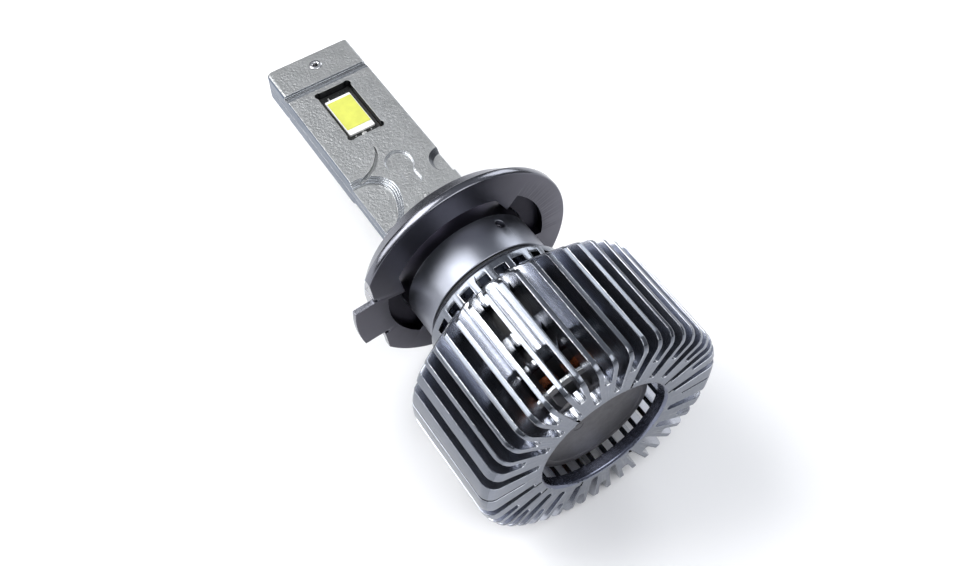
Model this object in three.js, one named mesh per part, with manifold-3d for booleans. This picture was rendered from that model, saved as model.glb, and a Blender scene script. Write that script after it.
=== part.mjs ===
// Retrofit headlight bulb with a flat two-sided light blade, twist-lock base ring, finned body and fan.
// Units are millimetres. +Y is the bulb axis toward the tip, +Z is up out of the lit face, +X is across the blade.
// The origin is on the axis at the seating plane of the base ring.

import * as THREE from 'three';
import { mergeVertices } from 'three/addons/utils/BufferGeometryUtils.js';
import Module from 'manifold-3d';

const wasm = await Module();
wasm.setup();

// ---- driving dimensions ----
const LIGHT_CENTRE = 24.7;       // middle of the emitter ahead of the seating plane
const BLADE_TIP = 35.45;
const BLADE_ROOT = -1.6;
const BLADE_HALF_W = 5.55;
const BLADE_HALF_T = 1.9;
const BLADE_CHAMFER = 0.38;
const CORE_HALF_W = 4.3;
const CORE_HALF_T = 0.45;
const EMITTER_HALF_W = 1.69;
const EMITTER_HALF_L = 3.2;
const POCKET_HALF_W = 2.25;
const POCKET_HALF_L = 4.3;
const TIP_STEP = 30.7;           // rear end of the raised tip block
const RING_R = 13.0;             // base ring outer radius
const RING_T = 1.0;
const RING_BORE = 7.82;
const CHORD_DIST = 11.2;         // flat on the ring, measured from the axis
const CHORD_ANGLE = 186;
const NECK_R = 7.73;
const NECK_FRONT = 2.3;
const NECK_REAR = -6.2;
const SINK_FRONT = -6.6;
const SINK_REAR = -26.3;
const SINK_R = 14.27;
const SINK_BORE = 7.47;
const SPIGOT_R = 6.85;
const SLOT_FLOOR = 8.45;
const SHALLOW_FLOOR = 10.9;
const RIB_ANGLE = -4;            // first thick rib, degrees from +X toward +Z
const WINDOW_BAND = [-9.2, -8.0];
const INNER_GROOVES = [[-14.95, -11.05, 10.0], [-18.6, -16.6, 10.0], [-24.9, -19.3, 11.25]];
const COVER_R = 6.82;
const COVER_REAR = -24.2;
const FAN_PLATE = -18.6;
const ROUND = 44;

// ---- materials ----
const paint = (color, roughness, metalness) => new THREE.MeshStandardMaterial({ color, roughness, metalness });
const satinAluminium = paint(0x9b9b99, 0.5, 0.9);
const finAluminium = paint(0xb2b3b8, 0.35, 0.95);
const darkChrome = paint(0x4a484d, 0.22, 1.0);
const copper = paint(0xb06a3c, 0.35, 1.0);
const steel = paint(0xbfc0c2, 0.3, 1.0);
const ceramicWhite = paint(0xe9e7e0, 0.55, 0.0);
const phosphor = paint(0xe9e36a, 0.6, 0.0);
const blackPlastic = paint(0x1c1c1e, 0.55, 0.0);
const charcoal = paint(0x3b3b3e, 0.5, 0.3);
const boardGreen = paint(0x1d3a2b, 0.5, 0.0);
const rubber = paint(0x141414, 0.85, 0.0);
const ferrite = paint(0x2e2d2c, 0.7, 0.1);
const magnetGrey = paint(0x55565a, 0.45, 0.7);

// ---- helpers ----
const rad = (deg) => (deg * Math.PI) / 180;
const v2 = (x, y) => new THREE.Vector2(x, y);

function solid(geometry) {
  const g = geometry.clone();
  g.deleteAttribute('normal');
  g.deleteAttribute('uv');
  const m = mergeVertices(g, 1e-4);
  const tris = [];
  for (let i = 0; i < m.index.count; i += 3) {
    const [a, b, c] = [m.index.getX(i), m.index.getX(i + 1), m.index.getX(i + 2)];
    if (a !== b && b !== c && c !== a) {
      tris.push(a, b, c);
    }
  }
  return new wasm.Manifold(new wasm.Mesh({
    numProp: 3,
    vertProperties: new Float32Array(m.attributes.position.array),
    triVerts: new Uint32Array(tris),
  }));
}

function geometryOf(manifold) {
  const mesh = manifold.getMesh();
  const g = new THREE.BufferGeometry();
  g.setAttribute('position', new THREE.BufferAttribute(new Float32Array(mesh.vertProperties), 3));
  g.setIndex(new THREE.BufferAttribute(new Uint32Array(mesh.triVerts), 1));
  const flat = g.toNonIndexed();
  flat.computeVertexNormals();
  return flat;
}

const join = (list) => list.reduce((a, b) => a.add(b));
const cut = (body, list) => list.reduce((a, b) => a.subtract(b), body);

// closed profile of [radius, y] pairs turned about the bulb axis
function turned(pairs, segments = ROUND) {
  const points = pairs.map(([r, y]) => v2(r, y));
  if (pairs[0][0] > 0) {
    points.push(points[0].clone());
  }
  const g = new THREE.LatheGeometry(points, segments);
  const m = solid(g);
  return m.volume() < 0 ? solid(flipped(g)) : m;
}

function flipped(geometry) {
  const g = geometry.clone();
  const index = Array.from(g.index.array);
  for (let i = 0; i < index.length; i += 3) {
    [index[i], index[i + 1]] = [index[i + 1], index[i]];
  }
  g.setIndex(index);
  return g;
}

// plain cylinder or tube on the bulb axis
const rod = (r, y0, y1, segments = ROUND) => turned([[0, y0], [r, y0], [r, y1], [0, y1]], segments);
const tube = (ri, ro, y0, y1, segments = ROUND) => turned([[ri, y0], [ro, y0], [ro, y1], [ri, y1]], segments);

// outline of [x, z] pairs carried along y
function alongY(pairs, y0, y1) {
  const shape = new THREE.Shape(pairs.map(([x, z]) => v2(x, z)));
  const g = new THREE.ExtrudeGeometry(shape, { depth: y1 - y0, bevelEnabled: false });
  g.rotateX(Math.PI / 2);
  g.translate(0, y1, 0);
  return solid(g);
}

// outline of [x, y] pairs carried along z
function alongZ(pairs, z0, z1) {
  const shape = new THREE.Shape(pairs.map(([x, y]) => v2(x, y)));
  const g = new THREE.ExtrudeGeometry(shape, { depth: z1 - z0, bevelEnabled: false });
  g.translate(0, 0, z0);
  return solid(g);
}

const block = (x0, x1, y0, y1, z0, z1) =>
  solid(new THREE.BoxGeometry(x1 - x0, y1 - y0, z1 - z0).translate((x0 + x1) / 2, (y0 + y1) / 2, (z0 + z1) / 2));

// upright cylinder along z at (x, y)
function postZ(r, x, y, z0, z1, segments = 24, rTop = r) {
  const g = new THREE.CylinderGeometry(rTop, r, z1 - z0, segments);
  g.rotateX(Math.PI / 2);
  g.translate(x, y, (z0 + z1) / 2);
  return solid(g);
}

// cylinder parallel to the bulb axis at (x, z)
function postY(r, x, z, y0, y1, segments = 20) {
  const g = new THREE.CylinderGeometry(r, r, y1 - y0, segments);
  g.translate(x, (y0 + y1) / 2, z);
  return solid(g);
}

// turn a solid about the bulb axis so that +X goes to the angle t, measured toward +Z
const atAngle = (body, t) => body.rotate([0, -t, 0]);

function arc(r, t0, t1, steps) {
  const out = [];
  for (let i = 0; i <= steps; i += 1) {
    const t = rad(t0 + ((t1 - t0) * i) / steps);
    out.push([r * Math.cos(t), r * Math.sin(t)]);
  }
  return out;
}

function rounded(halfW, halfL, r, cy) {
  const out = [];
  const corners = [[1, 1, 0], [-1, 1, 90], [-1, -1, 180], [1, -1, 270]];
  for (const [sx, sy, start] of corners) {
    for (let i = 0; i <= 3; i += 1) {
      const t = rad(start + 30 * i);
      out.push([sx * (halfW - r) + r * Math.cos(t), cy + sy * (halfL - r) + r * Math.sin(t)]);
    }
  }
  return out;
}

const root = new THREE.Group();
root.name = 'headlight_bulb';

function add(name, body, material) {
  const mesh = new THREE.Mesh(body.isBufferGeometry ? body : geometryOf(body), material);
  mesh.name = name;
  root.add(mesh);
}

// ---- light blade: two clamped half shells around a copper board ----
function bladeShell() {
  const w = BLADE_HALF_W;
  const t = BLADE_HALF_T;
  const c = BLADE_CHAMFER;
  const section = [[-w, 0.02], [w, 0.02], [w, t - c], [w - c, t], [-w + c, t], [-w, t - c]];
  let shell = alongY(section, BLADE_ROOT, BLADE_TIP - 0.35);
  const nose = alongY(section, BLADE_TIP - 0.36, BLADE_TIP).intersect(
    alongZ([[-w, BLADE_TIP - 1], [w, BLADE_TIP - 1], [w, BLADE_TIP - 0.3], [w - 0.7, BLADE_TIP],
      [-w + 0.7, BLADE_TIP], [-w, BLADE_TIP - 0.3]], -0.1, t + 0.1));
  shell = shell.add(nose);
  // shallow milled step and groove behind the tip block
  const groove = alongZ([[-9, TIP_STEP - 1.1], [9, TIP_STEP - 1.1], [9, TIP_STEP], [-9, TIP_STEP]], t - 0.3, t + 1);
  const lower = block(-9, 9, BLADE_ROOT - 1, TIP_STEP - 0.1, t - 0.12, t + 1);
  // emitter pocket with corner reliefs
  const pocket = alongZ(rounded(POCKET_HALF_W, POCKET_HALF_L, 0.5, LIGHT_CENTRE), CORE_HALF_T - 0.1, t + 1);
  const ears = [[-1, 1], [1, 1], [-1, -1], [1, -1]].map(([sx, sy]) =>
    postZ(0.62, sx * (POCKET_HALF_W - 0.3), LIGHT_CENTRE + sy * (POCKET_HALF_L - 0.35), CORE_HALF_T - 0.1, t + 1, 12));
  // edge scallops near the ring
  const left = postZ(2.7, -5.1, 10.7, t - 0.72, t + 0.02, 30, 3.9);
  const right = postZ(1.3, 5.5, 12.5, t - 0.6, t + 0.02, 24, 1.8);
  const bed = block(-CORE_HALF_W - 0.03, CORE_HALF_W + 0.03, BLADE_ROOT - 1, 33.2, -1, CORE_HALF_T + 0.02);
  const rivetHole = postZ(0.62, 0.2, 33.9 - 0.6, -1, t + 1, 16);
  return cut(shell, [groove, lower, pocket, ...ears, left, right, bed, rivetHole]);
}

const shellTop = bladeShell();
add('blade_shell_top', shellTop, satinAluminium);
add('blade_shell_bottom', shellTop.mirror([0, 0, 1]), satinAluminium);
add('blade_core', block(-CORE_HALF_W, CORE_HALF_W, BLADE_ROOT, 31.9, -CORE_HALF_T, CORE_HALF_T), copper);

const boardBase = CORE_HALF_T + 0.03;
const emitterBase = 0.82;
const emitterTop = 1.14;
for (const [side, sign] of [['top', 1], ['bottom', -1]]) {
  const z = (a, b) => (sign > 0 ? [a, b] : [-b, -a]);
  const [c0, c1] = z(boardBase, emitterBase - 0.02);
  const [b0, b1] = z(emitterBase, emitterTop);
  const [p0, p1] = z(emitterTop + 0.01, emitterTop + 0.08);
  const y0 = LIGHT_CENTRE - EMITTER_HALF_L;
  const y1 = LIGHT_CENTRE + EMITTER_HALF_L;
  const boardL = POCKET_HALF_L - 0.08;
  const boardW = POCKET_HALF_W - 0.08;
  add(`led_board_${side}`, block(-boardW, boardW, LIGHT_CENTRE - boardL, LIGHT_CENTRE + boardL, c0, c1), blackPlastic);
  add(`emitter_base_${side}`, block(-EMITTER_HALF_W, EMITTER_HALF_W, y0, y1, b0, b1), ceramicWhite);
  add(`emitter_phosphor_${side}`, block(-EMITTER_HALF_W + 0.12, EMITTER_HALF_W - 0.1, y0 + 0.8, y1 - 0.45, p0, p1), phosphor);
}

const rivet = cut(join([
  postZ(0.57, 0.2, 33.3, -2.0, 2.0, 16),
  postZ(1.0, 0.2, 33.3, BLADE_HALF_T + 0.01, BLADE_HALF_T + 0.16, 20, 0.8),
  postZ(0.8, 0.2, 33.3, -BLADE_HALF_T - 0.16, -BLADE_HALF_T - 0.01, 20, 1.0),
]), [postZ(0.34, 0.2, 33.3, -3, 3, 12)]);
add('tip_rivet', rivet, steel);

// ---- neck: carries the blade, the ring lugs and the body ----
const neckTurned = turned([
  [0, -9.6], [SPIGOT_R, -9.6], [SPIGOT_R, -6.55], [7.05, -6.55], [7.05, NECK_REAR], [NECK_R - 0.12, NECK_REAR],
  [NECK_R, NECK_REAR + 0.12], [NECK_R, NECK_FRONT - 0.4], [NECK_R - 0.4, NECK_FRONT], [0, NECK_FRONT],
]);
function lug(t) {
  const sector = alongY([...arc(9.0, -15, 15, 6), ...arc(7.2, 15, -15, 6)], 0.85, 1.85);
  return atAngle(sector, t);
}
const screwHole = atAngle(solid(new THREE.CylinderGeometry(0.55, 0.55, 6.4, 14).rotateZ(Math.PI / 2)
  .translate(5.0, -2.84, 0)), 66.5);
const bladeSocket = block(-BLADE_HALF_W - 0.06, BLADE_HALF_W + 0.06, BLADE_ROOT - 0.06, 4, -BLADE_HALF_T - 0.06, BLADE_HALF_T + 0.06);
add('neck', cut(join([neckTurned, lug(20), lug(200)]), [bladeSocket, rod(1.6, -12, 0, 20), screwHole]), darkChrome);

const setScrew = cut(
  solid(new THREE.CylinderGeometry(0.5, 0.5, 5.1, 14).rotateZ(Math.PI / 2).translate(4.8, -2.84, 0)),
  [solid(new THREE.CylinderGeometry(0.26, 0.26, 1.2, 6).rotateZ(Math.PI / 2).translate(7.2, -2.84, 0))]);
add('neck_set_screw', atAngle(setScrew, 66.5), steel);
add('body_seal', tube(7.08, 7.62, -6.52, -6.23), rubber);

// ---- twist-lock base ring ----
function baseRing() {
  const disc = turned([
    [RING_BORE, -RING_T], [RING_R - 0.16, -RING_T], [RING_R, -RING_T + 0.16], [RING_R, -0.1], [RING_R - 0.1, 0],
    [12.3, 0], [11.2, 1.9], [10.55, 1.9], [10.2, 0.5], [RING_BORE, 0.5],
  ], 56);
  const beyond = atAngle(block(CHORD_DIST, 20, -5, 5, -20, 20), CHORD_ANGLE);
  const tabBody = block(CHORD_DIST - 0.7, 13.95, -RING_T, -0.35, -3.1, 3.1)
    .intersect(rod(13.95, -3, 3, 72))
    .add(block(CHORD_DIST - 0.7, CHORD_DIST + 0.1, -RING_T, -0.35, -3.1, 3.1));
  const notches = [-3.35, 3.35].map((z) =>
    atAngle(block(CHORD_DIST - 0.55, 20, -5, 5, z - 0.25, z + 0.25), CHORD_ANGLE));
  const entry = alongY([[6.75, 3.3], ...arc(9.3, 66, 154, 10), [-7.7, 0.55]], -5, 5);
  const pocket = alongY([...arc(9.95, -8, 49, 7), ...arc(7.6, 49, -8, 4)], -5, -0.1);
  const body = disc.subtract(beyond).add(atAngle(tabBody, CHORD_ANGLE));
  return cut(body, [
    entry, entry.rotate([0, 180, 0]), pocket, pocket.rotate([0, 180, 0]), rod(RING_BORE, -5, 5), ...notches,
  ]);
}
add('adapter_ring', baseRing(), darkChrome);

// ---- finned body ----
const DEEP = [12, 30, 45, 60, 75, 90, 105, 120, 135, 150, 168];
const SHALLOW = [22.5, 37.5, 52.5, 67.5, 82.5, 97.5, 112.5, 127.5, 142.5, 157.5];

function sinkSlots() {
  const list = [];
  for (const half of [0, 180]) {
    list.push({ t: half, floor: 9.6, f: 0.12, o: 0.14 });
    DEEP.forEach((t) => list.push({ t: t + half, floor: SLOT_FLOOR, f: 0.4, o: 0.69 }));
    SHALLOW.forEach((t) => list.push({ t: t + half, floor: SHALLOW_FLOOR, f: 0.4, o: 0.68 }));
  }
  return list.sort((a, b) => a.t - b.t);
}

function starOutline() {
  const out = [];
  const r = SINK_R + 0.4;
  for (const s of sinkSlots()) {
    const t = rad(s.t + RIB_ANGLE);
    const place = (u, v) => out.push([u * Math.cos(t) - v * Math.sin(t), u * Math.sin(t) + v * Math.cos(t)]);
    place(r, -s.o);
    place(s.floor, -s.f);
    place(s.floor, s.f);
    place(r, s.o);
  }
  return out;
}

function finnedBody() {
  const star = alongY(starOutline(), SINK_REAR - 1, SINK_FRONT + 1);
  const envelope = turned([
    [0, SINK_REAR], [13.2, SINK_REAR], [13.95, SINK_REAR + 0.32], [SINK_R, SINK_REAR + 1.1],
    [SINK_R, -13.0], [14.0, -12.6], [9.1, -9.25], [8.42, -9.25], [8.42, -7.2], [7.83, SINK_FRONT], [0, SINK_FRONT],
  ], 44);
  const bore = turned([
    [0, SINK_REAR - 1], [SINK_BORE + 0.2, SINK_REAR - 1], [SINK_BORE + 0.2, SINK_REAR], [SINK_BORE, SINK_REAR + 0.2],
    [SINK_BORE, -9.7], [SPIGOT_R + 0.05, -9.7], [SPIGOT_R + 0.05, -5], [0, -5],
  ], 44);
  // small windows between pillars behind the front lip
  const cutters = [];
  for (const half of [0, 180]) {
    for (let i = 0; i < DEEP.length - 1; i += 1) {
      const middle = (DEEP[i] + DEEP[i + 1]) / 2 + half + RIB_ANGLE;
      const span = rad(DEEP[i + 1] - DEEP[i]) / 2;
      const low = SLOT_FLOOR * Math.sin(span) - 0.4;
      const high = 10.2 * Math.sin(span) - 0.1;
      const outline = [[6.5, -low], [SLOT_FLOOR, -low], [SLOT_FLOOR + 0.01, -low - 0.2], [10.2, -high],
        [10.2, high], [SLOT_FLOOR + 0.01, low + 0.2], [SLOT_FLOOR, low], [6.5, low]];
      cutters.push(atAngle(alongY(outline, WINDOW_BAND[0], WINDOW_BAND[1]), middle));
    }
  }
  // grooves turned from inside, deep enough to open the slot floors
  for (const [y0, y1, r] of INNER_GROOVES) {
    cutters.push(tube(SINK_BORE - 0.5, r, y0, y1));
  }
  return star.intersect(envelope).subtract(bore).subtract(wasm.Manifold.union(cutters));
}
add('heat_sink', finnedBody(), finAluminium);

// ---- liner, driver board and its components ----
const BOSS_ANGLES = [40, 160, 280];
const bossAt = (r, y0, y1, segments) => BOSS_ANGLES.map((t) =>
  postY(r, 6.0 * Math.cos(rad(t)), 6.0 * Math.sin(rad(t)), y0, y1, segments));
const linerShell = join([
  tube(6.9, 7.4, -18.55, -9.75),
  ...bossAt(0.95, -18.55, -15.2, 12),
]).subtract(rod(6.9, -15.2, -9, ROUND)).intersect(rod(7.4, -20, -9));
const inletAt = (body) => atAngle(body, 262.5 + RIB_ANGLE);
add('board_liner', cut(linerShell, [
  ...bossAt(0.42, -19, -16.2, 10), inletAt(block(6, 8, -18.3, -16.9, -0.66, 0.66)),
]), blackPlastic);
const inletBore = solid(new THREE.CylinderGeometry(0.38, 0.38, 6, 12).rotateZ(Math.PI / 2).translate(8, -17.6, 0));
add('cable_grommet', inletAt(block(6.6, 8.7, -18.25, -16.95, -0.62, 0.62).subtract(inletBore)), rubber);
add('driver_board', rod(6.84, -15.1, -14.1).subtract(rod(0.7, -16, -13, 12)), boardGreen);

const coreRing = turned([[1.0, -13.79], [1.9, -13.79], [1.9, -12.51], [1.0, -12.51]], 24).translate([-3.2, 0, 2.4]);
add('choke_core', coreRing, ferrite);
const sleeveOuter = turned([[0.72, -14.05], [2.2, -14.05], [2.2, -12.25], [0.72, -12.25]], 24);
const sleeveInner = turned([[0.96, -13.83], [1.94, -13.83], [1.94, -12.47], [0.96, -12.47]], 24);
const sleeve = sleeveOuter.subtract(sleeveInner).subtract(block(-0.7, 0.7, -15, -10, 0, 3)).translate([-3.2, 0, 2.4]);
add('choke_winding', sleeve, copper);
add('capacitor_a', postY(1.55, 3.6, 2.6, -14.05, -10.4, 20), satinAluminium);
add('capacitor_b', postY(1.55, 3.2, -3.0, -14.05, -10.4, 20), satinAluminium);
add('switch_chip', block(-4.2, -1.6, -14.05, -13.0, -4.4, -1.8), blackPlastic);
add('controller_chip', block(-1.6, 1.6, -16.1, -15.15, -4.4, -2.2), blackPlastic);

// ---- fan: fixed side ----
const plate = join([
  tube(1.7, 7.38, -19.2, FAN_PLATE, 36),
  tube(1.3, 1.9, -20.6, -17.2, 24),
]);
add('fan_plate', cut(plate, bossAt(0.45, -20, -18, 10)), blackPlastic);
BOSS_ANGLES.forEach((t, i) => {
  const x = 6.0 * Math.cos(rad(t));
  const z = 6.0 * Math.sin(rad(t));
  const body = postY(0.36, x, z, -19.3, -16.6, 10).add(postY(0.72, x, z, -19.55, -19.23, 12));
  add(`fan_screw_${'abc'[i]}`, body.subtract(postY(0.22, x, z, -19.7, -19.4, 6)), steel);
});
for (let i = 0; i < 6; i += 1) {
  const t = 10 + 60 * i;
  const coil = turned([[0.5, -20.35], [1.4, -20.35], [1.4, -19.25], [0.5, -19.25]], 16)
    .translate([4.1 * Math.cos(rad(t)), 0, 4.1 * Math.sin(rad(t))]);
  add(`stator_coil_${i + 1}`, coil, copper);
}
add('bearing_front', tube(0.68, 1.26, -18.3, -17.3, 24), steel);
add('bearing_rear', tube(0.68, 1.26, -20.5, -19.5, 24), steel);

// ---- fan: turning side ----
add('rotor_shaft', turned([[0, -23.9], [0.6, -23.9], [0.6, -17.1], [0.45, -16.95], [0, -16.95]], 16), steel);
add('rotor_magnet', tube(2.7, 5.6, -21.25, -20.75, 36), magnetGrey);
add('rotor_yoke', tube(0.66, 6.7, -21.62, -21.28, 36), steel);
function impeller() {
  const web = tube(1.4, 6.7, -22.1, -21.65, 36);
  const hub = tube(0.66, 2.0, -23.55, -21.65, 24);
  const blades = [];
  for (let i = 0; i < 13; i += 1) {
    const outline = [[2.6, -0.2], [4.2, 0.35], [5.6, 1.2], [6.45, 2.0], [6.6, 1.6], [5.8, 0.75], [4.4, -0.1], [2.7, -0.6]];
    blades.push(atAngle(alongY(outline, -23.55, -22.05), (360 / 13) * i));
  }
  return join([web, hub, ...blades]);
}
add('impeller', impeller(), blackPlastic);
add('rotor_cover', turned([
  [0, -23.95], [0.66, -23.95], [0.66, -23.6], [COVER_R, -23.6], [COVER_R, COVER_REAR + 0.12],
  [COVER_R - 0.12, COVER_REAR], [0, COVER_REAR],
], 44), charcoal);

export default root;
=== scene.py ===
"""Looks of the headlight bulb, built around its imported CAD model.

Lengths in this file are millimetres in the CAD frame and become metres where a mesh is made.
+Y is the bulb axis toward the blade's tip, +Z is up out of the lit face.
The origin is on the axis at the front of the base ring's flange.
Angles called t run from +X toward +Z.
"""

import math

import bmesh
import bpy
from mathutils import Matrix, Vector


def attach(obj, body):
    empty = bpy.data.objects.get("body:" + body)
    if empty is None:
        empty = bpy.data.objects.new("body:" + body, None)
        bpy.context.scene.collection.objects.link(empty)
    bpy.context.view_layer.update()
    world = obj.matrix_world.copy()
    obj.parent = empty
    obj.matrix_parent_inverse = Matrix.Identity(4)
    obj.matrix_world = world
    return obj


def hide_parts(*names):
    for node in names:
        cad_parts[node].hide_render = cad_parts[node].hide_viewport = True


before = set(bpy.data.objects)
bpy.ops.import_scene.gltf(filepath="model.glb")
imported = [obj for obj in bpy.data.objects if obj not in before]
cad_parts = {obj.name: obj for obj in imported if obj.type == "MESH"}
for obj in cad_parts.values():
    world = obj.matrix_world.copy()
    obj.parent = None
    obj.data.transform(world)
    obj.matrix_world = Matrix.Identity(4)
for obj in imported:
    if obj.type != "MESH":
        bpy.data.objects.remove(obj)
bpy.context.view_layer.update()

MM = 0.001
SCENE = bpy.context.scene

# ---- sizes, the same as in the CAD part ----
LIGHT_CENTRE = 24.7
BLADE_TIP = 35.45
BLADE_ROOT = -1.6
BLADE_HALF_W = 5.55
BLADE_HALF_T = 1.9
CORE_HALF_T = 0.45
EMITTER_HALF_W = 1.69
EMITTER_HALF_L = 3.1
POCKET_HALF_W = 2.25
POCKET_HALF_L = 4.3
TIP_STEP = 30.7
FACE_DROP = 0.12
RIVET = (0.2, 33.3)
RING_R = 13.0
RING_T = 1.0
RING_BORE = 7.82
ENTRY_R = 9.3
TWIST_POCKET_R = 9.95
CHORD_DIST = 11.2
CHORD_ANGLE = 186
NECK_R = 7.73
NECK_FRONT = 2.3
NECK_REAR = -6.2
# from here forward the neck is painted with shade, under the base ring
NECK_SHADE_FROM = -1.5
SPIGOT_R = 6.85
SINK_FRONT = -6.6
SINK_REAR = -26.3
SINK_R = 14.27
SINK_BORE = 7.47
SLOT_FLOOR = 8.45
SHALLOW_FLOOR = 10.9
RIB_ANGLE = -4
COVER_R = 6.82
COVER_REAR = -24.2
COIL_CIRCLE_R = 4.1
WINDOW_BAND = (-9.2, -8.0)
WINDOW_TOP_R = 10.2
INNER_GROOVES = ((-14.95, -11.05, 10.0), (-18.6, -16.6, 10.0), (-24.9, -19.3, 11.25))
BEYOND = 9          # reach of a cutter that goes past the blade
LOBE_INSET = (0.3, 0.35)
NOTCH = (5.6, 12.0)
NOTCH_FLOOR_R = 1.5
NOTCH_TOP_R = 2.05
SCREW_PLACE = (-2.84, 66.5)   # y and t of the neck's set screw
LUG_ANGLES = (20, 200)
DEEP = [12, 30, 45, 60, 75, 90, 105, 120, 135, 150, 168]
SHALLOW = [22.5, 37.5, 52.5, 67.5, 82.5, 97.5, 112.5, 127.5, 142.5, 157.5]


# ---- mesh helpers ----
def new_piece(name, verts, faces):
    mesh = bpy.data.meshes.new(name)
    mesh.from_pydata([(x * MM, y * MM, z * MM) for x, y, z in verts], [], faces)
    bm = bmesh.new()
    bm.from_mesh(mesh)
    bmesh.ops.remove_doubles(bm, verts=bm.verts, dist=1e-8)
    bmesh.ops.recalc_face_normals(bm, faces=bm.faces)
    bm.to_mesh(mesh)
    bm.free()
    piece = bpy.data.objects.new(name, mesh)
    SCENE.collection.objects.link(piece)
    return piece


def lathe(name, profile, segments=160, loop=False):
    """Turns a profile of (radius, y) about the bulb axis; loop closes it on itself for a tube."""
    verts, faces, rings = [], [], []
    for r, y in profile:
        count = 1 if r < 1e-9 else segments
        rings.append(range(len(verts), len(verts) + count))
        for i in range(count):
            a = 2 * math.pi * i / segments
            verts.append((r * math.cos(a), y, r * math.sin(a)))
    pairs = list(zip(rings, rings[1:]))
    if loop:
        pairs.append((rings[-1], rings[0]))
    for a, b in pairs:
        for i in range(segments):
            j = (i + 1) % segments
            if len(a) > 1 and len(b) > 1:
                faces.append((a[i], a[j], b[j], b[i]))
            elif len(b) > 1:
                faces.append((a[0], b[j], b[i]))
            elif len(a) > 1:
                faces.append((a[i], a[j], b[0]))
    return new_piece(name, verts, faces)


def ring_faces(n):
    """Side faces between two loops of n points, numbered one after the other."""
    return [(i, (i + 1) % n, n + (i + 1) % n, n + i) for i in range(n)]


def prism(name, outline, low, high, along="y"):
    """Carries an outline of (x, z) pairs along y, or of (x, y) pairs along z."""
    n = len(outline)
    verts = []
    for level in (low, high):
        for a, b in outline:
            verts.append((a, level, b) if along == "y" else (a, b, level))
    faces = [tuple(range(n)), tuple(range(2 * n - 1, n - 1, -1))]
    faces += ring_faces(n)
    return new_piece(name, verts, faces)


def block(name, x0, x1, y0, y1, z0, z1):
    return prism(name, [(x0, y0), (x1, y0), (x1, y1), (x0, y1)], z0, z1, "z")


def post(name, x, y, z0, z1, radius, top=None, segments=64):
    """Upright round post at (x, y), or a cone where top is another radius."""
    top = radius if top is None else top
    verts = []
    for r, z in ((radius, z0), (top, z1)):
        for i in range(segments):
            a = 2 * math.pi * i / segments
            verts.append((x + r * math.cos(a), y + r * math.sin(a), z))
    faces = [tuple(range(segments)), tuple(range(2 * segments - 1, segments - 1, -1))]
    faces += ring_faces(segments)
    return new_piece(name, verts, faces)


def turn_to(piece, t):
    """Turns a mesh about the bulb axis so that +X goes to the angle t."""
    piece.data.transform(Matrix.Rotation(-math.radians(t), 4, "Y"))
    return piece


def shift(piece, x, y, z):
    piece.data.transform(Matrix.Translation((x * MM, y * MM, z * MM)))
    return piece


def applied(piece):
    """Bakes the modifiers into the mesh."""
    depsgraph = bpy.context.evaluated_depsgraph_get()
    depsgraph.update()
    mesh = bpy.data.meshes.new_from_object(piece.evaluated_get(depsgraph))
    piece.modifiers.clear()
    piece.data = mesh


def combine(piece, others, operation="DIFFERENCE"):
    for other in others:
        m = piece.modifiers.new("combine", "BOOLEAN")
        m.operation = operation
        m.solver = "MANIFOLD"
        m.object = other
        applied(piece)
        bpy.data.objects.remove(other)


def finished(piece, width=0.06, segments=2, angle=30, smooth=38):
    """Rounds the sharp edges by width and smooths the shading between flat faces."""
    if width:
        m = piece.modifiers.new("edges", "BEVEL")
        m.width = width * MM
        m.segments = segments
        m.limit_method = "ANGLE"
        m.angle_limit = math.radians(angle)
        m.use_clamp_overlap = False
        m.miter_outer = "MITER_ARC"
        applied(piece)
    mesh = piece.data
    mesh.polygons.foreach_set("use_smooth", [True] * len(mesh.polygons))
    mesh.set_sharp_from_angle(angle=math.radians(smooth))
    m = piece.modifiers.new("normals", "WEIGHTED_NORMAL")
    m.keep_sharp = True


def arc(r, t0, t1, steps, cx=0.0, cy=0.0):
    out = []
    for i in range(steps + 1):
        a = math.radians(t0 + (t1 - t0) * i / steps)
        out.append((cx + r * math.cos(a), cy + r * math.sin(a)))
    return out


def rounded(x0, x1, y0, y1, r, steps=6):
    out = []
    corners = ((x1 - r, y1 - r), (x0 + r, y1 - r), (x0 + r, y0 + r), (x1 - r, y0 + r))
    for quarter, (cx, cy) in enumerate(corners):
        out += arc(r, 90 * quarter, 90 * quarter + 90, steps, cx, cy)
    return out


def smooth_loop(points, steps=3):
    """Catmull-Rom curve through a closed loop of points."""
    out = []
    n = len(points)
    for i in range(n):
        corners = (points[i - 1], points[i], points[(i + 1) % n], points[(i + 2) % n])
        for k in range(steps):
            u = k / steps
            out.append(tuple(0.5 * (2 * b + (c - a) * u + (2 * a - 5 * b + 4 * c - d) * u * u
                                    + (3 * b - a - 3 * c + d) * u ** 3)
                             for a, b, c, d in zip(*corners)))
    return out


def moved_in(points, distance):
    """Closed outline moved inward, each point along the bisector of its corner."""
    area = sum(a[0] * b[1] - b[0] * a[1] for a, b in zip(points, points[1:] + points[:1]))
    sign = 1 if area > 0 else -1
    out = []
    for i, (x, y) in enumerate(points):
        ax, ay = points[i - 1]
        bx, by = points[(i + 1) % len(points)]
        length = math.hypot(bx - ax, by - ay)
        out.append((x - sign * (by - ay) / length * distance, y + sign * (bx - ax) / length * distance))
    return out


# ---- materials ----
def linear(r, g, b):
    out = []
    for c in (r, g, b):
        c = c / 255
        out.append(c / 12.92 if c <= 0.04045 else ((c + 0.055) / 1.055) ** 2.4)
    return (*out, 1.0)


def scaled(color, k):
    return (*(min(1.0, c * k) for c in color[:3]), 1.0)


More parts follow.
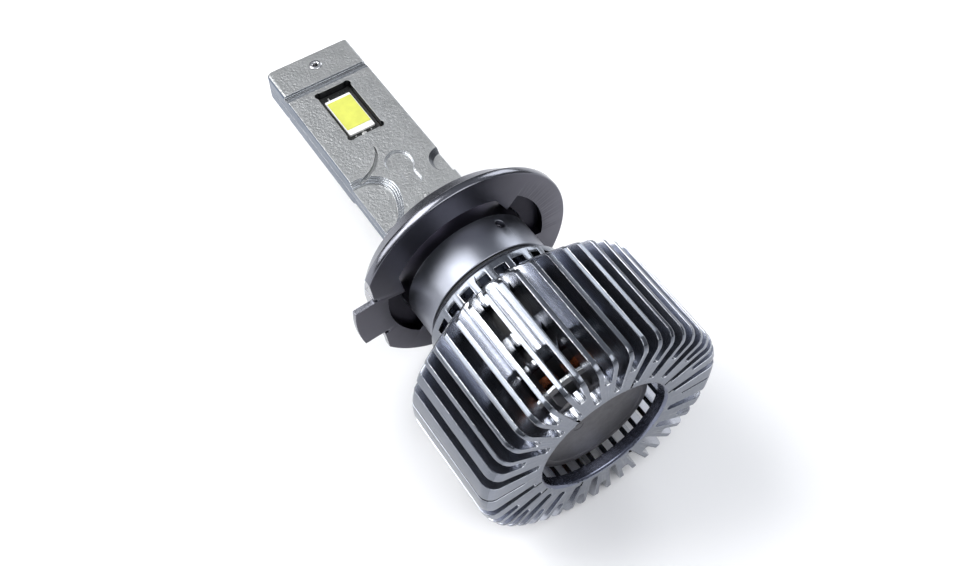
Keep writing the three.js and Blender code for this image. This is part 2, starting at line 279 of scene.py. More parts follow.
def material(name, color, metallic, roughness, vary=0.12, rough_vary=0.08, patch=0.35, grain=0.0,
             grain_scale=9.0, streak=None, edge_wear_highlight=None, edge_wear_highlight_radius=0.12, specks=None, coat=0.0):
    """Procedural surface.

    vary and rough_vary are the colour and roughness change over patches, patch is their frequency per mm.
    grain is the bump height of a fine noise and streak stretches it along an axis.
    edge_wear_highlight is the colour that edges brighten toward, partly worn metal and partly a painted edge
    highlight, specks is (colour, threshold, frequency) of small spots.
    """
    m = bpy.data.materials.new(name)
    m.use_nodes = True
    nt = m.node_tree
    nt.nodes.clear()
    node = nt.nodes.new
    link = nt.links.new
    out = node("ShaderNodeOutputMaterial")
    shader = node("ShaderNodeBsdfPrincipled")
    link(shader.outputs["BSDF"], out.inputs["Surface"])
    shader.inputs["Metallic"].default_value = metallic
    if coat:
        shader.inputs["Coat Weight"].default_value = coat
        shader.inputs["Coat Roughness"].default_value = 0.12
    coords = node("ShaderNodeTexCoord")

    def noise(scale, detail=3.0, stretch=(1, 1, 1), rough=0.55):
        mapping = node("ShaderNodeMapping")
        mapping.inputs["Scale"].default_value = stretch
        link(coords.outputs["Object"], mapping.inputs["Vector"])
        n = node("ShaderNodeTexNoise")
        n.inputs["Scale"].default_value = scale / MM
        n.inputs["Detail"].default_value = detail
        n.inputs["Roughness"].default_value = rough
        link(mapping.outputs["Vector"], n.inputs["Vector"])
        return n.outputs["Fac"]

    def ramp(value, low, high, out_low=0.0, out_high=1.0):
        r = node("ShaderNodeMapRange")
        r.inputs["From Min"].default_value = low
        r.inputs["From Max"].default_value = high
        r.inputs["To Min"].default_value = out_low
        r.inputs["To Max"].default_value = out_high
        link(value, r.inputs["Value"])
        return r.outputs["Result"]

    def mix(factor, a, b):
        x = node("ShaderNodeMix")
        x.data_type = "RGBA"
        link(factor, x.inputs["Factor"])
        for value, socket in ((a, x.inputs["A"]), (b, x.inputs["B"])):
            if isinstance(value, tuple):
                socket.default_value = value
            else:
                link(value, socket)
        return x.outputs["Result"]

    large = noise(patch, 4.0)
    color_out = mix(ramp(large, 0.35, 0.65), scaled(color, 1 - vary), scaled(color, 1 + vary))
    medium = noise(patch * 5.3, 5.0, streak or (1, 1, 1), 0.62)
    rough_out = ramp(medium, 0.3, 0.7, max(0.02, roughness - rough_vary), min(1.0, roughness + rough_vary))
    if specks:
        spots = noise(specks[2], 2.0)
        color_out = mix(ramp(spots, specks[1], specks[1] + 0.04), color_out, specks[0])
    # painted edge highlight, partly worn edges: an edge mask from the Bevel node, broken by noise, brightens
    # the colour toward the edge colour
    if edge_wear_highlight:
        bevel = node("ShaderNodeBevel")
        bevel.samples = 4
        bevel.inputs["Radius"].default_value = edge_wear_highlight_radius * MM
        geometry = node("ShaderNodeNewGeometry")
        dot = node("ShaderNodeVectorMath")
        dot.operation = "DOT_PRODUCT"
        link(bevel.outputs["Normal"], dot.inputs[0])
        link(geometry.outputs["Normal"], dot.inputs[1])
        edge = ramp(dot.outputs["Value"], 0.99, 0.86)
        broken = node("ShaderNodeMath")
        broken.operation = "MULTIPLY"
        link(edge, broken.inputs[0])
        link(ramp(noise(2.4, 4.0), 0.34, 0.6), broken.inputs[1])
        color_out = mix(broken.outputs["Value"], color_out, edge_wear_highlight)
    link(color_out, shader.inputs["Base Color"])
    link(rough_out, shader.inputs["Roughness"])
    if grain:
        bump = node("ShaderNodeBump")
        bump.inputs["Strength"].default_value = 1.0
        bump.inputs["Distance"].default_value = grain * MM
        link(noise(grain_scale, 3.0, streak or (1, 1, 1), 0.6), bump.inputs["Height"])
        link(bump.outputs["Normal"], shader.inputs["Normal"])
    return m


# edge colour of the worn edges and of the painted edge highlights
BRIGHT = linear(235, 236, 240)
MATS = {
    "blast": material("blasted_aluminium", linear(172, 173, 173), 0.92, 0.42, vary=0.06, rough_vary=0.06,
        patch=0.5, grain=0.1, grain_scale=3.1, edge_wear_highlight=linear(225, 226, 226), edge_wear_highlight_radius=0.1),
    "notch": material("notch_wall_aluminium", linear(112, 115, 120), 1.0, 0.3, vary=0.08, patch=1.2,
        streak=(1, 1, 4), edge_wear_highlight=linear(225, 226, 228), edge_wear_highlight_radius=0.12),
    # painted shade: dark colour for the walls of the light source's pocket and the deep floor of the tip
    # groove
    "pocket": material("pocket_wall_painted_shade", linear(70, 71, 74), 1.0, 0.34, vary=0.1, patch=1.0,
        edge_wear_highlight=linear(190, 192, 194), edge_wear_highlight_radius=0.06),
    "blast_side": material("milled_side_aluminium", linear(94, 103, 117), 0.95, 0.34, vary=0.05, patch=0.3,
        grain=0.006, grain_scale=5.0, streak=(1, 0.08, 1), edge_wear_highlight=BRIGHT, edge_wear_highlight_radius=0.08),
    "groove": material("milled_groove_aluminium", linear(186, 189, 193), 1.0, 0.3, vary=0.1, patch=1.2,
        grain=0.02, grain_scale=5.0, streak=(0.35, 1, 1), edge_wear_highlight=linear(232, 234, 236), edge_wear_highlight_radius=0.06),
    "cut": material("fresh_cut_aluminium", linear(196, 199, 202), 1.0, 0.24, vary=0.06, patch=0.9,
        grain=0.006, grain_scale=6.0, streak=(0.12, 1, 1)),
    "fin": material("turned_fin_aluminium", linear(114, 118, 126), 1.0, 0.22, vary=0.06, rough_vary=0.08,
        patch=0.4, grain=0.004, grain_scale=7.0, streak=(1, 0.1, 1), edge_wear_highlight=BRIGHT, edge_wear_highlight_radius=0.1),
    # painted light: the slot walls and slot floors are lighter copies of the fin aluminium, standing for
    # light reaching into the slots
    "slot": material("slot_wall_painted_light", linear(180, 183, 192), 1.0, 0.24, vary=0.05, rough_vary=0.03,
        patch=0.35, grain=0.002, grain_scale=6.0, streak=(1, 0.06, 1)),
    "slot_floor_lit": material("slot_floor_painted_light", linear(215, 217, 220), 1.0, 0.24, vary=0.08, patch=0.4,
        grain=0.004, grain_scale=6.0, streak=(1, 0.08, 1)),
    "rear": material("turned_rear_aluminium", linear(130, 134, 143), 1.0, 0.33, vary=0.05, patch=0.35,
        grain=0.003, grain_scale=9.0, edge_wear_highlight=BRIGHT, edge_wear_highlight_radius=0.1),
    "bore": material("turned_bore_aluminium", linear(120, 124, 140), 1.0, 0.24, vary=0.08, patch=0.4,
        grain=0.003, grain_scale=9.0, streak=(1, 6, 1)),
    "dark": material("dark_plating", linear(112, 113, 120), 1.0, 0.2, vary=0.06, rough_vary=0.06,
        patch=0.16, grain=0.0025, grain_scale=8.0, streak=(1, 5, 1), edge_wear_highlight=linear(205, 205, 210),
        edge_wear_highlight_radius=0.08),
    "neck": material("neck_plating", linear(132, 135, 144), 1.0, 0.35, vary=0.04, rough_vary=0.02,
        patch=0.18, edge_wear_highlight=linear(215, 216, 220), edge_wear_highlight_radius=0.08),
    # painted shade: near-black colour for the shadowed gap between neck and base ring and for the shade in
    # the ring's bore
    "bore_shade": material("painted_bore_shade", linear(42, 40, 50), 1.0, 0.4, vary=0.05, rough_vary=0.03,
        patch=0.3),
    "dark_rough": material("dark_plating_satin", linear(100, 99, 107), 1.0, 0.32, vary=0.06,
        rough_vary=0.04, patch=0.12, grain=0.001, grain_scale=9.0, edge_wear_highlight=linear(195, 196, 203),
        edge_wear_highlight_radius=0.08),
    "steel": material("bright_steel", linear(208, 208, 210), 1.0, 0.22, patch=0.8, grain=0.004,
        grain_scale=8.0),
    "ceramic": material("white_ceramic", linear(240, 240, 238), 0.0, 0.42, vary=0.03, patch=1.2,
        grain=0.004, grain_scale=12.0),
    "phosphor": material("phosphor_layer", linear(208, 211, 94), 0.0, 0.5, vary=0.05, patch=0.8,
        grain=0.012, grain_scale=14.0, specks=(linear(214, 206, 84), 0.66, 9.0)),
    "led_board": material("black_led_board", linear(40, 41, 40), 0.0, 0.24, vary=0.2, patch=0.9,
        grain=0.004, grain_scale=9.0),
    "pad": material("solder_pad", linear(232, 232, 230), 0.7, 0.28, vary=0.06, patch=2.0, grain=0.012,
        grain_scale=7.0),
    "copper_bar": material("copper_bar", linear(206, 132, 92), 1.0, 0.28, vary=0.1, patch=0.3, grain=0.004,
        grain_scale=8.0, streak=(1, 0.1, 1)),
    "enamel": material("enamelled_copper", linear(164, 104, 70), 0.9, 0.26, vary=0.16, patch=1.2,
        grain=0.006, grain_scale=8.0, coat=0.4),
    "cover": material("satin_charcoal", linear(78, 77, 80), 0.55, 0.36, vary=0.06, rough_vary=0.07,
        patch=0.22, grain=0.006, grain_scale=9.0, specks=(linear(120, 120, 124), 0.735, 1.9)),
    "plastic": material("moulded_black_plastic", linear(46, 46, 49), 0.0, 0.45, vary=0.12, patch=0.4,
        grain=0.012, grain_scale=6.0),
    "impeller": material("moulded_grey_plastic", linear(104, 104, 108), 0.0, 0.4, vary=0.08, patch=0.4,
        grain=0.008, grain_scale=6.0),
    "board": material("lacquered_board", linear(34, 78, 56), 0.0, 0.35, vary=0.15, patch=0.8, grain=0.006,
        grain_scale=5.0, specks=(linear(52, 104, 74), 0.56, 0.8)),
    "rubber": material("black_rubber", linear(38, 38, 40), 0.0, 0.66, vary=0.15, patch=0.5, grain=0.02,
        grain_scale=5.0),
    "ferrite": material("ferrite", linear(62, 60, 58), 0.1, 0.55, vary=0.1, patch=1.0, grain=0.02,
        grain_scale=7.0),
    "magnet": material("plated_magnet", linear(150, 151, 156), 0.95, 0.3, vary=0.1, patch=0.5, grain=0.008,
        grain_scale=7.0),
    "can": material("capacitor_sleeve", linear(150, 152, 160), 0.9, 0.28, vary=0.08, patch=0.6, grain=0.004,
        grain_scale=7.0),
}


def paint(piece, key):
    piece.data.materials.clear()
    piece.data.materials.append(MATS[key])


def paint_faces(piece, keys, choose):
    """Gives each face the material whose key choose(centre in mm, normal) returns."""
    piece.data.materials.clear()
    for key in keys:
        piece.data.materials.append(MATS[key])
    for polygon in piece.data.polygons:
        polygon.material_index = keys.index(choose(polygon.center / MM, polygon.normal))


def place(piece, body, slot, *replaced):
    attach(piece, body)
    if replaced:
        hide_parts(*replaced)


# ---- light blade ----
SCALLOP = [
    (-7.5, 14.85), (-5.6, 14.85), (-4.6, 14.85), (-3.6, 14.7), (-2.75, 14.3), (-2.0, 13.6), (-1.5, 12.7),
    (-1.32, 11.7), (-1.45, 10.6), (-1.75, 9.6), (-2.2, 8.5), (-2.8, 7.5), (-3.7, 6.7), (-5.0, 6.3),
    (-7.5, 6.2),
]
KEYHOLE = [
    (2.3, 14.6), (2.1, 15.4), (1.5, 16.05), (0.7, 16.25), (-0.1, 15.95), (-0.68, 15.3), (-0.85, 14.5),
    (-0.55, 13.65), (-0.12, 13.0), (-0.04, 12.2), (0.02, 11.4), (0.35, 10.75), (0.95, 10.45), (1.5, 10.7),
    (1.75, 11.3), (1.68, 12.1), (1.8, 12.8), (2.2, 13.6),
]
# inset and depth of each milled step
SCALLOP_STEPS = ((0.0, 0.14), (0.22, 0.3), (0.46, 0.46), (0.72, 0.72))
KEYHOLE_STEPS = ((0.0, 0.16), (0.11, 0.32))


def pocket_lobes(low, high, radius, segments, name="c"):
    """Posts in the four corners of the light source's pocket."""
    x, y = POCKET_HALF_W - LOBE_INSET[0], POCKET_HALF_L - LOBE_INSET[1]
    return [post(name, sx * x, LIGHT_CENTRE + sy * y, low, high, radius, segments=segments)
            for sx in (-1, 1) for sy in (-1, 1)]


def pocket_outline(clearance, corner):
    w, length = POCKET_HALF_W - clearance, POCKET_HALF_L - clearance
    return rounded(-w, w, LIGHT_CENTRE - length, LIGHT_CENTRE + length, corner)


def milled_steps(outline, steps, face):
    return [prism("c", moved_in(smooth_loop(outline), inset), face - depth, face + 0.3, "z")
            for inset, depth in steps]


def slit_outline():
    """Crescent on an arc of radius 4.4, wide at its upper end and pointed at both."""
    outer, inner = [], []
    steps = 20
    for i in range(steps + 1):
        k = i / steps
        a = math.radians(-9 - 77 * k)
        half = 0.03 + 0.23 * math.sin(math.pi * min(1.0, 0.12 + 0.9 * (1 - k))) ** 0.8
        outer.append((-4.8 + (4.4 + half) * math.cos(a), 18.8 + (4.4 + half) * math.sin(a)))
        inner.append((-4.8 + (4.4 - half) * math.cos(a), 18.8 + (4.4 - half) * math.sin(a)))
    return outer + inner[::-1]


def mirrored_down(piece):
    piece.data.transform(Matrix.Scale(-1, 4, (0, 0, 1)))
    piece.data.flip_normals()


def blade(side):
    """One half shell of the blade, made for the top and mirrored for the bottom."""
    w, t = BLADE_HALF_W, BLADE_HALF_T
    name = f"blade_half_{side}"
    outline = [(-w, BLADE_ROOT), (w, BLADE_ROOT), (w, BLADE_TIP - 0.25), (w - 0.25, BLADE_TIP)]
    outline += arc(0.75, 90, 180, 6, -w + 0.75, BLADE_TIP - 0.75)
    body = prism(name, outline, 0.02, t, "z")
    # broad rounding of the outer edges of the lit face
    bm = bmesh.new()
    bm.from_mesh(body.data)
    top_edges = [e for e in bm.edges if all(abs(v.co.z - t * MM) < 1e-7 for v in e.verts)
                 and not all(abs(v.co.y - BLADE_ROOT * MM) < 1e-7 for v in e.verts)]
    bmesh.ops.bevel(bm, geom=top_edges, offset=0.38 * MM, segments=4, profile=0.5, affect="EDGES")
    bm.to_mesh(body.data)
    bm.free()
    deep = CORE_HALF_T - 0.02
    face = t - FACE_DROP
    above = t + 1
    cutters = [
        block("c", -BEYOND, BEYOND, BLADE_ROOT - 1, TIP_STEP, face, above),
        block("c", -BEYOND, BEYOND, TIP_STEP - 1.05, TIP_STEP, face - 0.1, above),
        block("c", -BEYOND, BEYOND, TIP_STEP - 0.78, TIP_STEP, face - 0.2, above),
        block("c", -BEYOND, BEYOND, TIP_STEP - 0.42, TIP_STEP - 0.1, face - 0.38, above),
        prism("c", pocket_outline(0, 0.45), deep, above, "z"),
    ]
    cutters += pocket_lobes(deep, above, 0.47, 40)
    cutters += milled_steps(SCALLOP, SCALLOP_STEPS, face)
    cutters += [
        post("c", *NOTCH, face - 0.75, face + 0.02, NOTCH_FLOOR_R, NOTCH_TOP_R),
        prism("c", slit_outline(), face - 0.5, face + 0.3, "z"),
    ]
    cutters += milled_steps(KEYHOLE, KEYHOLE_STEPS, face)
    cutters += [
        post("c", *RIVET, -1, above, 0.62, segments=40),
        block("c", -4.33, 4.33, BLADE_ROOT - 1, 33.2, -1, CORE_HALF_T + 0.02),
    ]
    combine(body, cutters)
    dimple = post("c", 0.84, 8.6, face - 0.1, face + 0.17, 0.42, 0.2, 32)
    combine(body, [dimple], "UNION")
    finished(body, 0.045, 2, 28)
    if side == "bottom":
        mirrored_down(body)

    def choose(centre, normal):
        height = abs(centre.z)
        if abs(normal.x) > 0.75 and abs(centre.x) > w - 0.3:
            return "blast_side"
        inside_groove = TIP_STEP - 1.1 < centre.y < TIP_STEP + 0.05
        if inside_groove and height < t - 0.02 and abs(centre.x) < w - 0.05:
            if abs(normal.y) > 0.3:
                return "cut"
            # painted shade: the groove's floor deeper than 0.3 mm takes the dark pocket colour
            return "pocket" if height < face - 0.3 else "groove"
        in_scallop = centre.x < -1.2 and 6.0 < centre.y < 15.0
        if in_scallop and face - 0.68 < height < face - 0.02:
            return "cut"
        in_keyhole = -1.0 < centre.x < 2.4 and 10.3 < centre.y < 16.4
        if in_keyhole and height < face and abs(normal.z) < 0.97:
            return "groove"
        in_notch = math.hypot(centre.x - NOTCH[0], centre.y - NOTCH[1]) < NOTCH_TOP_R + 0.1
        if in_notch and height < face - 0.02 and abs(normal.z) < 0.95:
            return "notch"
        in_pocket = (abs(centre.x) < POCKET_HALF_W + 0.45
                     and abs(centre.y - LIGHT_CENTRE) < POCKET_HALF_L + 0.5)
        # painted shade: the pocket's walls take the dark pocket colour
        if in_pocket and height < face - 0.06:
            return "pocket"
        return "blast"

    paint_faces(body, ["blast", "blast_side", "groove", "cut", "pocket", "notch"], choose)
    place(body, "bulb", "satin_aluminium", f"blade_shell_{side}")


def light_source(side):
    """Board, ceramic carrier, phosphor and solder pads in the pocket of one blade half."""
    y0, y1 = LIGHT_CENTRE - EMITTER_HALF_L, LIGHT_CENTRE + EMITTER_HALF_L
    hw = EMITTER_HALF_W
    board_low, board_top = 0.48, 0.8
    board = prism(f"pocket_board_{side}", pocket_outline(0.05, 0.4), board_low, board_top, "z")
    combine(board, pocket_lobes(board_low, board_top, 0.42, 32, "p"), "UNION")
    carrier = prism(f"emitter_carrier_{side}", rounded(-hw, hw, y0, y1, 0.12, 3), 0.82, 1.14, "z")
    layer_outline = rounded(-hw + 0.12, hw - 0.1, y0 + 0.82, y1 - 0.42, 0.08, 3)
    layer = prism(f"emitter_phosphor_layer_{side}", layer_outline, 1.145, 1.2, "z")
    pads = block(f"emitter_pads_{side}", -0.28, 0.34, y0 - 0.62, y0 - 0.16, 0.78, 0.86)
    combine(pads, [
        block("p", -0.1, 0.16, y0 - 0.75, y0 - 0.02, 0.78, 0.84),
        block("p", -1.1, -0.98, y0 - 0.3, y0 - 0.16, 0.78, 0.88),
        block("p", 0.98, 1.1, y0 - 0.3, y0 - 0.16, 0.78, 0.88),
        block("p", -0.96, -0.78, y1 + 0.06, y1 + 0.72, 0.78, 0.84),
    ], "UNION")
    for piece, key, slot, width, replaced in (
            (board, "led_board", "black_plastic", 0.03, [f"led_board_{side}"]),
            (carrier, "ceramic", "ceramic", 0.05, [f"emitter_base_{side}"]),
            (layer, "phosphor", "phosphor", 0.03, [f"emitter_phosphor_{side}"]),
            (pads, "pad", "steel", 0.03, [])):
        if side == "bottom":
            mirrored_down(piece)
        finished(piece, width)
        paint(piece, key)
        place(piece, "bulb", slot, *replaced)


def rivet():
    """Tubular rivet with rolled heads on both faces of the blade."""
    top = BLADE_HALF_T
    profile = [
        (0.3, -top - 0.03), (0.38, -top - 0.12), (0.54, -top - 0.15), (0.74, -top - 0.11), (0.8, -top - 0.01),
        (0.57, -top - 0.01), (0.57, top + 0.01), (0.8, top + 0.01), (0.74, top + 0.11), (0.54, top + 0.15),
        (0.38, top + 0.12), (0.3, top + 0.03),
    ]
    piece = lathe("tip_rivet_rolled", profile, 48, loop=True)
    piece.data.transform(Matrix.Rotation(math.pi / 2, 4, "X"))
    shift(piece, *RIVET, 0)
    finished(piece, 0.02, 1)
    paint(piece, "steel")
    place(piece, "bulb", "steel", "tip_rivet")


# ---- neck, seal and base ring ----
def to_screw_place(piece):
    """Lays a piece turned about y out along the neck's set screw."""
    piece.data.transform(Matrix.Rotation(-math.pi / 2, 4, "Z"))
    y, t = SCREW_PLACE
    return turn_to(shift(piece, 0, y, 0), t)


def neck():
    profile = [
        (0, -9.6), (SPIGOT_R, -9.6), (SPIGOT_R, -6.55), (7.05, -6.55), (7.05, NECK_REAR),
        (NECK_R - 0.14, NECK_REAR), (NECK_R - 0.04, NECK_REAR + 0.05), (NECK_R, NECK_REAR + 0.16),
        (NECK_R, NECK_SHADE_FROM), (NECK_R - 0.03, NECK_SHADE_FROM + 0.04), (NECK_R - 0.03, NECK_FRONT - 0.4),
        (NECK_R - 0.12, NECK_FRONT - 0.12), (NECK_R - 0.4, NECK_FRONT), (0, NECK_FRONT),
    ]
    body = lathe("neck_turned", profile, 180)
    for t in LUG_ANGLES:
        lug = prism("lug", arc(9.0, -15, 15, 12) + arc(7.2, 15, -15, 12), 0.85, 1.85)
        combine(body, [turn_to(lug, t)], "UNION")
    gap = 0.06
    socket = block("c", -BLADE_HALF_W - gap, BLADE_HALF_W + gap, BLADE_ROOT - gap, 4, -BLADE_HALF_T - gap,
                   BLADE_HALF_T + gap)
    bore = lathe("c", [(0, -12), (1.6, -12), (1.6, 0), (0, 0)], 48)
    hole = lathe("c", [(0, 2.0), (0.55, 2.0), (0.55, 7.66), (0.62, 7.74), (0.62, 9), (0, 9)], 32)
    combine(body, [socket, bore, to_screw_place(hole)])
    finished(body, 0.03)

    def choose(centre, normal):
        # painted shade: the neck's front part, inside the base ring, takes the near-black colour of the
        # shadowed gap between neck and ring
        return "bore_shade" if centre.y > NECK_SHADE_FROM and abs(normal.y) < 0.9 else "neck"

    paint_faces(body, ["neck", "bore_shade"], choose)
    place(body, "bulb", "dark_chrome", "neck")

    screw = lathe("neck_grub_screw", [(0, 2.25), (0.5, 2.25), (0.5, 7.2), (0.4, 7.3), (0, 7.3)], 32)
    combine(screw, [prism("c", arc(0.26, 0, 300, 5), 6.5, 8)])
    finished(to_screw_place(screw), 0.02, 1)
    paint(screw, "dark_rough")
    place(screw, "bulb", "steel", "neck_set_screw")

    profile = [(7.08, -6.5), (7.5, -6.5), (7.6, -6.44), (7.62, -6.37), (7.6, -6.3), (7.5, -6.24),
               (7.08, -6.24)]
    seal = lathe("body_seal_ring", profile, 120, loop=True)
    finished(seal, 0)
    paint(seal, "rubber")
    place(seal, "bulb", "rubber", "body_seal")


def base_ring():
    profile = [
        (RING_BORE, -RING_T), (RING_R - 0.2, -RING_T), (RING_R - 0.06, -RING_T + 0.06),
        (RING_R, -RING_T + 0.2), (RING_R, -0.12), (RING_R - 0.04, -0.04), (RING_R - 0.12, 0), (12.3, 0),
        (12.2, 0.03), (11.26, 1.83), (11.14, 1.9), (10.6, 1.9), (10.5, 1.84), (10.24, 0.62), (10.12, 0.5),
        (RING_BORE, 0.5),
    ]
    body = lathe("base_ring_turned", profile, 240, loop=True)
    beyond = turn_to(block("c", CHORD_DIST, 20, -5, 5, -20, 20), CHORD_ANGLE)
    combine(body, [beyond])
    tab_outline = [(CHORD_DIST - 0.7, -3.1)] + arc(13.95, -12.84, 12.84, 16) + [(CHORD_DIST - 0.7, 3.1)]
    tab = prism("tab", tab_outline, -RING_T, -0.35)
    combine(body, [turn_to(tab, CHORD_ANGLE)], "UNION")
    cutters = []
    for z in (-3.35, 3.35):
        notch = [(20, z - 0.25), (20, z + 0.25)] + arc(0.25, 90, 270, 8, CHORD_DIST - 0.3, z)
        cutters.append(turn_to(prism("c", notch, -5, 5), CHORD_ANGLE))
    for half in (0, 180):
        entry = prism("c", [(6.75, 3.3)] + arc(ENTRY_R, 66, 154, 30) + [(-7.7, 0.55)], -5, 5)
        pocket = prism("c", arc(TWIST_POCKET_R, -8, 49, 24) + arc(7.6, 49, -8, 12), -5, -0.1)
        cutters += [turn_to(entry, half), turn_to(pocket, half)]
    cutters.append(lathe("c", [(0, -5), (RING_BORE, -5), (RING_BORE, 5), (0, 5)], 180))
    combine(body, cutters)
    finished(body, 0.05, 2)

    def choose(centre, normal):
        radius = math.hypot(centre.x, centre.z)
        # painted shade: the bore walls and the twist pockets' floors inside the ring take the near-black
        # shade colour
        if radius < TWIST_POCKET_R + 0.1 and (abs(normal.y) < 0.9 or -0.85 < centre.y < 0):
            return "bore_shade"
        return "dark_rough" if normal.y < -0.9 and centre.y < -0.9 else "dark"

    paint_faces(body, ["dark", "dark_rough", "bore_shade"], choose)
    place(body, "base_ring", "dark_chrome", "adapter_ring")


# ---- finned body ----
def slots():
    out = []
    for half in (0, 180):
        out.append((half, 9.6, 0.12, 0.14))
        out += [(t + half, SLOT_FLOOR, 0.4, 0.69) for t in DEEP]
        out += [(t + half, SHALLOW_FLOOR, 0.4, 0.68) for t in SHALLOW]
    return sorted(out)


def finned_body():
    outline = []
    r = SINK_R + 0.4
    for t, floor, inner, outer in slots():
        a = math.radians(t + RIB_ANGLE)
        for u, v in ((r, -outer), (floor + 0.18, -inner), (floor, -inner + 0.16), (floor, inner - 0.16),
                     (floor + 0.18, inner), (r, outer)):
            outline.append((u * math.cos(a) - v * math.sin(a), u * math.sin(a) + v * math.cos(a)))
    body = prism("finned_body", outline, SINK_REAR - 1, SINK_FRONT + 1)
    envelope = lathe("e", [
        (0, SINK_REAR), (13.05, SINK_REAR), (13.45, SINK_REAR + 0.1), (13.85, SINK_REAR + 0.36),
        (14.14, SINK_REAR + 0.78), (SINK_R, SINK_REAR + 1.25), (SINK_R, -13.15), (14.2, -12.85),
        (14.0, -12.6), (9.1, -9.25), (8.42, -9.25), (8.42, -7.2), (8.36, -7.12),
        (7.9, SINK_FRONT + 0.03), (7.78, SINK_FRONT), (0, SINK_FRONT)], 200)
    combine(body, [envelope], "INTERSECT")
    bore = lathe("c", [
        (0, SINK_REAR - 1), (SINK_BORE + 0.24, SINK_REAR - 1), (SINK_BORE + 0.24, SINK_REAR),
        (SINK_BORE, SINK_REAR + 0.24), (SINK_BORE, -9.7), (SPIGOT_R + 0.05, -9.7), (SPIGOT_R + 0.05, -5),
        (0, -5)], 200)
    cutters = [bore]
    for half in (0, 180):
        for first, second in zip(DEEP, DEEP[1:]):
            middle = (first + second) / 2 + half + RIB_ANGLE
            span = math.radians(second - first) / 2
            low = SLOT_FLOOR * math.sin(span) - 0.4
            high = WINDOW_TOP_R * math.sin(span) - 0.1
            step = SLOT_FLOOR + 0.01
            shape = [(6.5, -low), (SLOT_FLOOR, -low), (step, -low - 0.2), (WINDOW_TOP_R, -high),
                     (WINDOW_TOP_R, high), (step, low + 0.2), (SLOT_FLOOR, low), (6.5, low)]
            cutters.append(turn_to(prism("c", shape, *WINDOW_BAND), middle))
    inside = SINK_BORE - 0.5
    for y0, y1, r in INNER_GROOVES:
        cutters.append(lathe("c", [(inside, y0), (r, y0), (r, y1), (inside, y1)], 160, loop=True))
    combine(body, cutters)
    finished(body, 0.07, 2, 32)

    def choose(centre, normal):
        radius = math.hypot(centre.x, centre.z)
        out = (centre.x * normal.x + centre.z * normal.z) / max(radius, 0.1)
        if radius < SINK_BORE + 0.35 and out < -0.5:
            return "bore"
        if normal.y < -0.6 and centre.y < SINK_REAR + 0.3:
            return "rear"
        # painted light: slot walls and slot floors take the lighter slot colours
        if abs(normal.y) < 0.5 and abs(out) < 0.6 and radius > SLOT_FLOOR - 0.6:
            return "slot"
        if out > 0.6 and radius < SINK_R - 1.2 and centre.y < WINDOW_BAND[0] - 0.1:
            return "slot_floor_lit"
        return "fin"

    paint_faces(body, ["fin", "slot", "slot_floor_lit", "rear", "bore"], choose)
    place(body, "bulb", "fin_aluminium", "heat_sink")


# ---- fan ----
def rear_cover():
    front = -23.62
    profile = [
        (0, front - 0.33), (0.66, front - 0.33), (0.66, front), (COVER_R - 0.05, front),
        (COVER_R, front - 0.06), (COVER_R, COVER_REAR + 0.14), (COVER_R - 0.05, COVER_REAR + 0.04),
        (COVER_R - 0.16, COVER_REAR), (5.9, COVER_REAR), (5.84, COVER_REAR + 0.03), (5.78, COVER_REAR),
        (0, COVER_REAR),
    ]
    body = lathe("fan_cover_disc", profile)
    mark_floor = COVER_REAR + 0.05
    mark = lathe("c", [(0.5, -25), (0.62, -25), (0.62, mark_floor), (0.5, mark_floor)], 48, loop=True)
    combine(body, [shift(mark, -1.9, 0, 0.9)])
    finished(body, 0.02, 1)
    paint(body, "cover")
    place(body, "fan_rotor", "charcoal", "rotor_cover")


def stator_coil(index):
    """Wound coil: a ring whose outside shows the turns."""
    turns = 9
    profile = [(0.5, -20.32), (0.62, -20.35), (1.2, -20.35)]
    for i in range(turns * 4 + 1):
        k = i / (turns * 4)
        profile.append((1.33 + 0.06 * abs(math.sin(math.pi * turns * k)), -20.3 + 1.0 * k))
    profile += [(1.2, -19.25), (0.62, -19.25), (0.5, -19.28)]
    coil = lathe(f"coil_wound_{index}", profile, 40, loop=True)
    a = math.radians(10 + 60 * (index - 1))
    shift(coil, COIL_CIRCLE_R * math.cos(a), 0, COIL_CIRCLE_R * math.sin(a))
    finished(coil, 0, smooth=60)
    paint(coil, "enamel")
    place(coil, "bulb", "copper", f"stator_coil_{index}")


def carried_over():
    """CAD nodes that keep their shape get rounded edges and their own surface."""
    looks = {
        "blade_core": ("copper_bar", 0.04), "board_liner": ("plastic", 0.04), "driver_board": ("board", 0.03),
        "choke_core": ("ferrite", 0.05), "choke_winding": ("enamel", 0.04), "capacitor_a": ("can", 0.12),
        "capacitor_b": ("can", 0.12), "switch_chip": ("plastic", 0.06), "controller_chip": ("plastic", 0.06),
        "cable_grommet": ("rubber", 0.08), "fan_plate": ("plastic", 0.04), "fan_screw_a": ("steel", 0.03),
        "fan_screw_b": ("steel", 0.03), "fan_screw_c": ("steel", 0.03), "bearing_front": ("steel", 0.04),
        "bearing_rear": ("steel", 0.04), "rotor_shaft": ("steel", 0.03), "rotor_magnet": ("magnet", 0.04),
        "rotor_yoke": ("cut", 0.03), "impeller": ("impeller", 0.03),
    }
    for name, (key, width) in looks.items():
        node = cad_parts[name]
        for material_slot in node.material_slots:
            material_slot.material = MATS[key]
        weld = node.modifiers.new("weld", "WELD")
        weld.merge_threshold = 1e-7
        edges = node.modifiers.new("edges", "BEVEL")
        edges.width = width * MM
        edges.segments = 2
        edges.limit_method = "ANGLE"
        edges.angle_limit = math.radians(35)
        edges.use_clamp_overlap = True


for half in ("top", "bottom"):
    blade(half)
    light_source(half)
rivet()
neck()
base_ring()
finned_body()
rear_cover()
for number in range(1, 7):
    stator_coil(number)
carried_over()


# ---- floor, light, camera ----
FLOOR_Z = -SINK_R - 0.02
FLOOR_REACH = 900

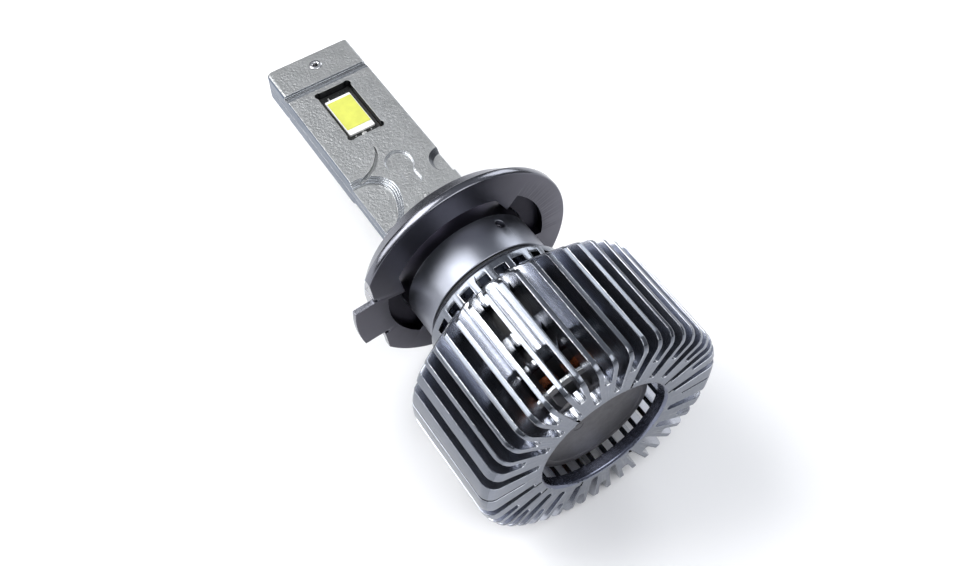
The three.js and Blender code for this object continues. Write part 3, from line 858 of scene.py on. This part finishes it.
floor = block("floor", -FLOOR_REACH, FLOOR_REACH, -FLOOR_REACH, FLOOR_REACH, FLOOR_Z - 4, FLOOR_Z)
pale = material("pale_floor", linear(252, 252, 253), 0.0, 0.7, vary=0.01, rough_vary=0.03, patch=0.02)
floor.data.materials.append(pale)


def softbox(name, direction, distance, width, height, power, color=(1, 1, 1)):
    """Rectangular soft light that faces the origin from a direction."""
    data = bpy.data.lights.new(name, "AREA")
    data.shape = "RECTANGLE"
    data.size = width * MM
    data.size_y = height * MM
    data.energy = power
    data.color = color
    lamp = bpy.data.objects.new(name, data)
    SCENE.collection.objects.link(lamp)
    d = Vector(direction).normalized()
    lamp.location = d * distance * MM
    lamp.rotation_euler = d.to_track_quat("Z", "Y").to_euler()


softbox("key_soft", (-0.40, 0.48, 0.78), 420, 260, 240, 1.25)
softbox("left_soft", (-0.82, 0.48, 0.42), 420, 160, 260, 0.6)
softbox("right_soft", (0.8, 0.48, 0.4), 420, 150, 220, 0.4, (0.96, 0.98, 1.0))
softbox("top_soft", (0.15, -0.5, 0.85), 520, 420, 420, 1.5)

world = bpy.data.worlds.new("studio")
SCENE.world = world
world.use_nodes = True
tree = world.node_tree
tree.nodes.clear()
world_out = tree.nodes.new("ShaderNodeOutputWorld")
background = tree.nodes.new("ShaderNodeBackground")
tree.links.new(background.outputs["Background"], world_out.inputs["Surface"])
coords = tree.nodes.new("ShaderNodeTexCoord")
split = tree.nodes.new("ShaderNodeSeparateXYZ")
tree.links.new(coords.outputs["Generated"], split.inputs["Vector"])
fade = tree.nodes.new("ShaderNodeValToRGB")
horizon, zenith = fade.color_ramp.elements
horizon.position = 0.02
horizon.color = (0.12, 0.125, 0.135, 1)
zenith.position = 0.9
zenith.color = (0.42, 0.44, 0.48, 1)
tree.links.new(split.outputs["Z"], fade.inputs["Fac"])
tree.links.new(fade.outputs["Color"], background.inputs["Color"])
background.inputs["Strength"].default_value = 1.0

CAMERA_PLACE = (-39.66, -66.7, 106.27)
CAMERA_BACK = (-0.30810, -0.48288, 0.81970)
CAMERA_RIGHT = (0.83533, -0.54966, -0.00983)

camera_data = bpy.data.cameras.new("camera")
camera_data.lens = 44.536
camera_data.sensor_width = 36
camera_data.clip_start = 0.005
camera_data.clip_end = 10
camera = bpy.data.objects.new("camera", camera_data)
SCENE.collection.objects.link(camera)
back = Vector(CAMERA_BACK).normalized()
right = Vector(CAMERA_RIGHT)
right = (right - right.dot(back) * back).normalized()
up = back.cross(right)
turn = Matrix((right, up, back)).transposed().to_4x4()
camera.matrix_world = Matrix.Translation(Vector(CAMERA_PLACE) * MM) @ turn
SCENE.camera = camera
SCENE.view_settings.view_transform = "Standard"
